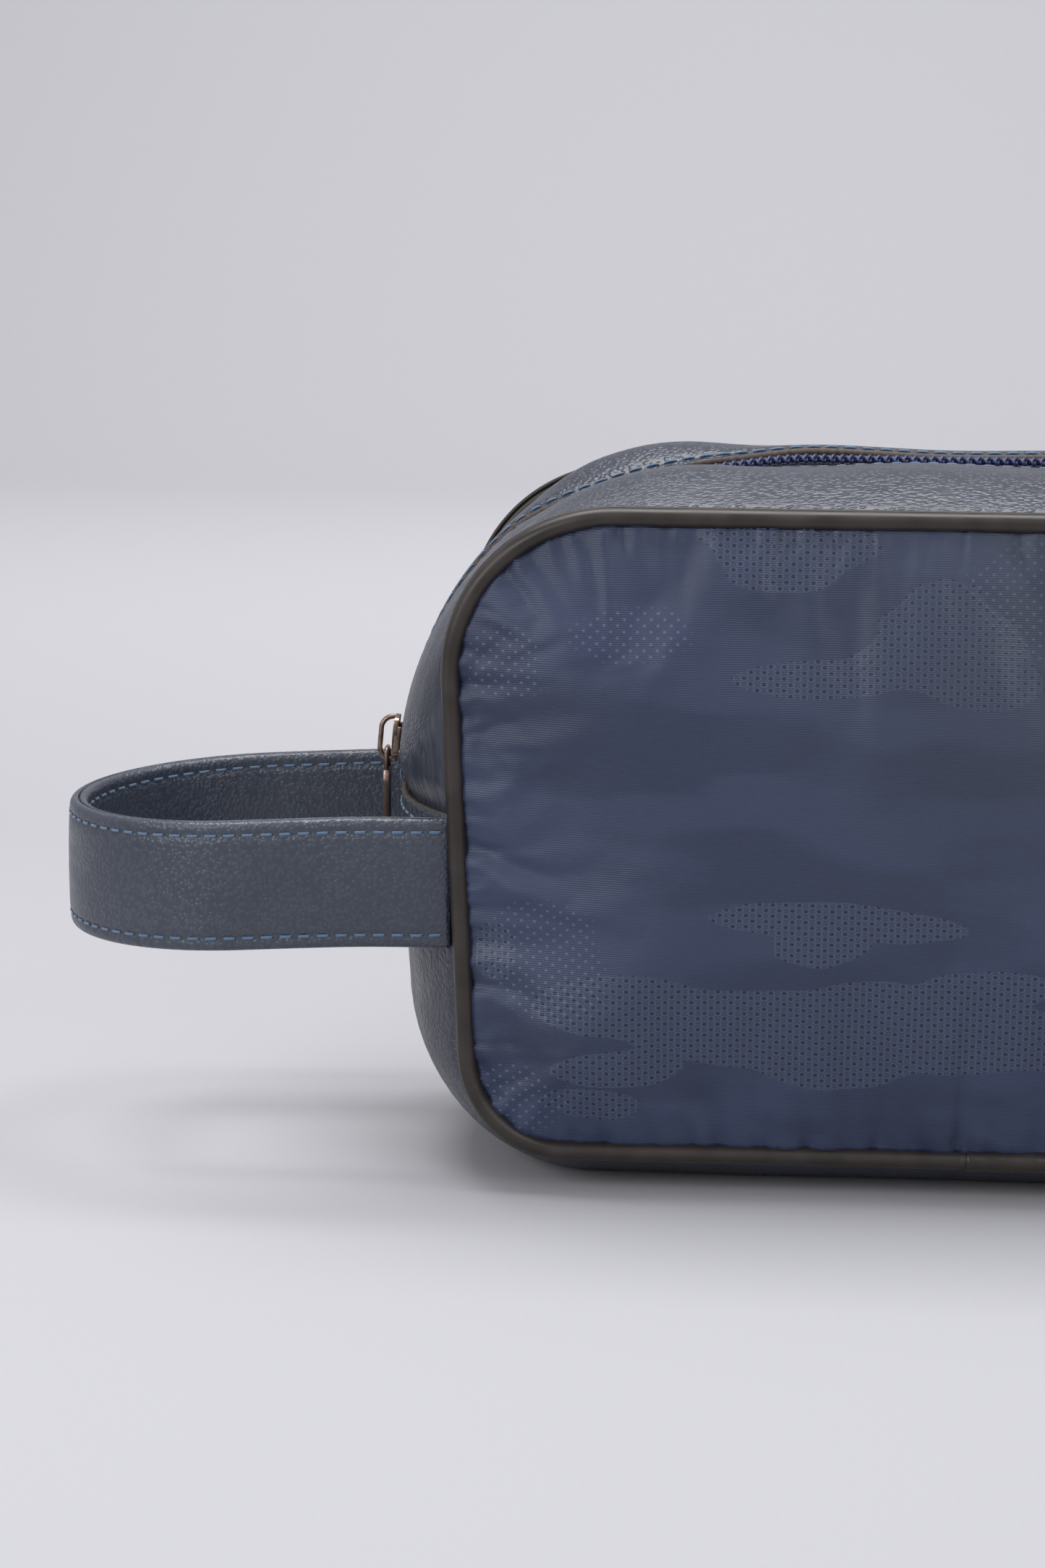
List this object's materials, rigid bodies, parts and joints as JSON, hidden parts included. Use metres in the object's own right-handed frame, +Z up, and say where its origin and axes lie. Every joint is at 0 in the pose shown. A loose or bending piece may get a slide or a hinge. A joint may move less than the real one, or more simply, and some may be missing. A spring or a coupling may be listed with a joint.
{
  "type": "wash bag",
  "caption": "Structured soft wash bag: crowned padded fabric panels with piping, leather gusset, zip over the top with slider and pull tab, and a leather loop strap at one end.",
  "frame": {"origin": "middle of the flat of the base, on the ground", "axes": "+X along the bag, away from the strap; +Y towards the back panel; +Z up"},
  "size_m": [0.3461, 0.107, 0.1658],
  "materials": {
    "camo_satin": "satin jacquard weave",
    "foam": "open-cell foam wadding",
    "lining": "plain weave nylon lining",
    "cord": "twisted cotton cord and webbing",
    "piping_satin": "satin bias strip",
    "zip_tape": "woven herringbone tape",
    "zip_coil": "matte nylon coil",
    "bronze_metal": "antique bronze plating",
    "strap_leather": "pebble grain",
    "gusset_leather": "pebble grain"
  },
  "bodies": {
    "lower_bag": {"lower_gusset": "gusset_leather", "lower_gusset_lining": "lining", "base_padding": "foam", "front_panel_lower": "camo_satin", "front_padding_lower": "foam", "front_lining_lower": "lining", "back_panel_lower": "camo_satin", "back_padding_lower": "foam", "back_lining_lower": "lining", "front_piping_lower": "piping_satin", "front_piping_cord_lower": "cord", "back_piping_lower": "piping_satin", "back_piping_cord_lower": "cord", "strap_tab_front": "strap_leather", "strap_tab_back": "strap_leather"},
    "mouth_front": {"front_panel_upper": "camo_satin", "front_padding_upper": "foam", "front_lining_upper": "lining", "front_piping_upper": "piping_satin", "front_piping_cord_upper": "cord", "gusset_front": "gusset_leather", "gusset_front_lining": "lining", "zip_tape_front": "zip_tape", "zip_coil_front": "zip_coil"},
    "mouth_back": {"back_panel_upper": "camo_satin", "back_padding_upper": "foam", "back_lining_upper": "lining", "back_piping_upper": "piping_satin", "back_piping_cord_upper": "cord", "gusset_back": "gusset_leather", "gusset_back_lining": "lining", "zip_tape_back": "zip_tape", "zip_coil_back": "zip_coil"},
    "slider": {"slider_body": "bronze_metal", "slider_bail": "bronze_metal"},
    "pull_tab": {"pull_tab": "bronze_metal"},
    "strap": {"strap_outer_layer": "strap_leather", "strap_core": "cord", "strap_inner_layer": "strap_leather"}
  },
  "joints": [
    {"name": "mouth_front_fold", "type": "hinge", "parent": "lower_bag", "child": "mouth_front", "pos_m": [0, -0.0538, 0.0872], "axis": [1, 0, 0], "range_deg": [0, 25]},
    {"name": "mouth_back_fold", "type": "hinge", "parent": "lower_bag", "child": "mouth_back", "pos_m": [0, 0.0538, 0.0872], "axis": [-1, 0, 0], "range_deg": [0, 25]},
    {"name": "slider_run", "type": "hinge", "parent": "lower_bag", "child": "slider", "pos_m": [-0.0584, 0, 0.0908], "axis": [0, -1, 0], "range_deg": [-40, 0]},
    {"name": "pull_tab_swing", "type": "hinge", "parent": "slider", "child": "pull_tab", "pos_m": [-0.13676, 0, 0.09436], "axis": [0, 1, 0], "range_deg": [0, 130]},
    {"name": "strap_flex", "type": "hinge", "parent": "lower_bag", "child": "strap", "pos_m": [-0.1389, 0, 0.0715], "axis": [0, 1, 0], "range_deg": [-32, 38], "stiffness_Nm_per_rad": 0.35, "springref_deg": 2.86}
  ]
}
